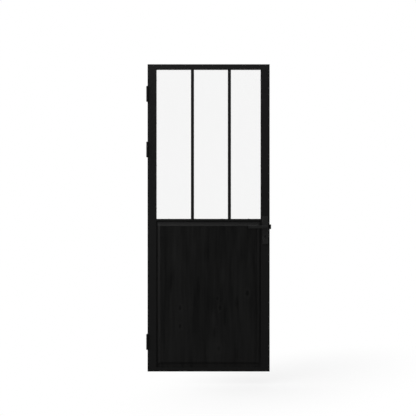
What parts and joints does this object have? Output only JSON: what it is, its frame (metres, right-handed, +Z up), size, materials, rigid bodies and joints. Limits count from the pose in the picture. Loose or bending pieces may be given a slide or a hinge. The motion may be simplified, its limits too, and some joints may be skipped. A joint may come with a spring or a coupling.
{
  "type": "half-glazed door leaf",
  "caption": "Black steel door leaf with tall glass panes over a raised wooden panel, hung on butt hinges and fitted with a lever handle, latch and key lock.",
  "frame": {"origin": "middle of the leaf's bottom edge, halfway through its thickness", "axes": "+X across the leaf from the hinge side to the lock side, -Y out of the face with the hinge barrels, +Z up"},
  "size_m": [0.911, 0.152, 2.24],
  "materials": {
    "frame_steel": "fine-textured matte black powder coat",
    "clear_glass": "clear polished",
    "gasket_rubber": "matte black",
    "panel_wood": "black-stained, open grain running up",
    "screw_steel": "black zinc",
    "hinge_steel": "satin black",
    "bearing_nylon": "black nylon",
    "case_steel": "zinc-plated sheet",
    "bolt_steel": "blackened steel",
    "handle_black": "satin black coat",
    "bush_nylon": "black nylon"
  },
  "bodies": {
    "jamb_side": {"hinge_low_jamb_plate": "hinge_steel", "hinge_low_pin": "hinge_steel", "hinge_low_washers": "bearing_nylon", "hinge_mid_jamb_plate": "hinge_steel", "hinge_mid_pin": "hinge_steel", "hinge_mid_washers": "bearing_nylon", "hinge_top_jamb_plate": "hinge_steel", "hinge_top_pin": "hinge_steel", "hinge_top_washers": "bearing_nylon"},
    "leaf": {"hinge_stile": "frame_steel", "lock_stile": "frame_steel", "top_rail": "frame_steel", "lock_rail": "frame_steel", "rail_cap": "frame_steel", "bottom_rail": "frame_steel", "glazing_bar_left": "frame_steel", "glazing_bar_right": "frame_steel", "glazing_bead_top": "frame_steel", "glazing_bead_bottom": "frame_steel", "glazing_bead_hinge_side": "frame_steel", "glazing_bead_lock_side": "frame_steel", "bar_cover_left": "frame_steel", "bar_cover_right": "frame_steel", "panel_bead_top": "frame_steel", "panel_bead_bottom": "frame_steel", "panel_bead_hinge_side": "frame_steel", "panel_bead_lock_side": "frame_steel", "glass_left": "clear_glass", "glass_middle": "clear_glass", "glass_right": "clear_glass", "gasket_left": "gasket_rubber", "gasket_middle": "gasket_rubber", "gasket_right": "gasket_rubber", "panel_seal": "gasket_rubber", "wood_panel": "panel_wood", "bead_screws": "screw_steel", "hinge_low_leaf_plate": "hinge_steel", "hinge_mid_leaf_plate": "hinge_steel", "hinge_top_leaf_plate": "hinge_steel", "hinge_screws": "hinge_steel", "lock_case": "case_steel", "lock_cover": "case_steel", "forend": "bolt_steel", "forend_screws": "bolt_steel", "latch_spring": "bolt_steel", "plate_front": "handle_black", "plate_back": "handle_black", "plate_screws": "handle_black", "bush_front": "bush_nylon", "bush_back": "bush_nylon"},
    "lever_set": {"lever_front": "handle_black", "lever_back": "handle_black", "spindle": "bolt_steel", "follower": "bolt_steel", "grub_screws": "bolt_steel"},
    "latch": {"latch_bolt": "bolt_steel"},
    "dead": {"dead_bolt": "bolt_steel"}
  },
  "joints": [
    {"name": "leaf_swing", "type": "hinge", "parent": "jamb_side", "child": "leaf", "pos_m": [-0.4465, -0.028, 0], "axis": [0, 0, -1], "range_deg": [0, 170]},
    {"name": "lever_turn", "type": "hinge", "parent": "leaf", "child": "lever_set", "pos_m": [0.413, 0, 1.055], "axis": [0, -1, 0], "range_deg": [0, 40], "stiffness_Nm_per_rad": 2, "springref_deg": -20.05},
    {"name": "latch_slide", "type": "slide", "parent": "leaf", "child": "latch", "axis": [-1, 0, 0], "range_m": [0, 0.012], "deforming": ["latch_spring"]},
    {"name": "dead_bolt_slide", "type": "slide", "parent": "leaf", "child": "dead", "axis": [1, 0, 0], "range_m": [0, 0.015]}
  ],
  "couplings": [
    {"joint": "latch_slide", "follows": "lever_turn", "m_per_rad": 0.017189}
  ]
}
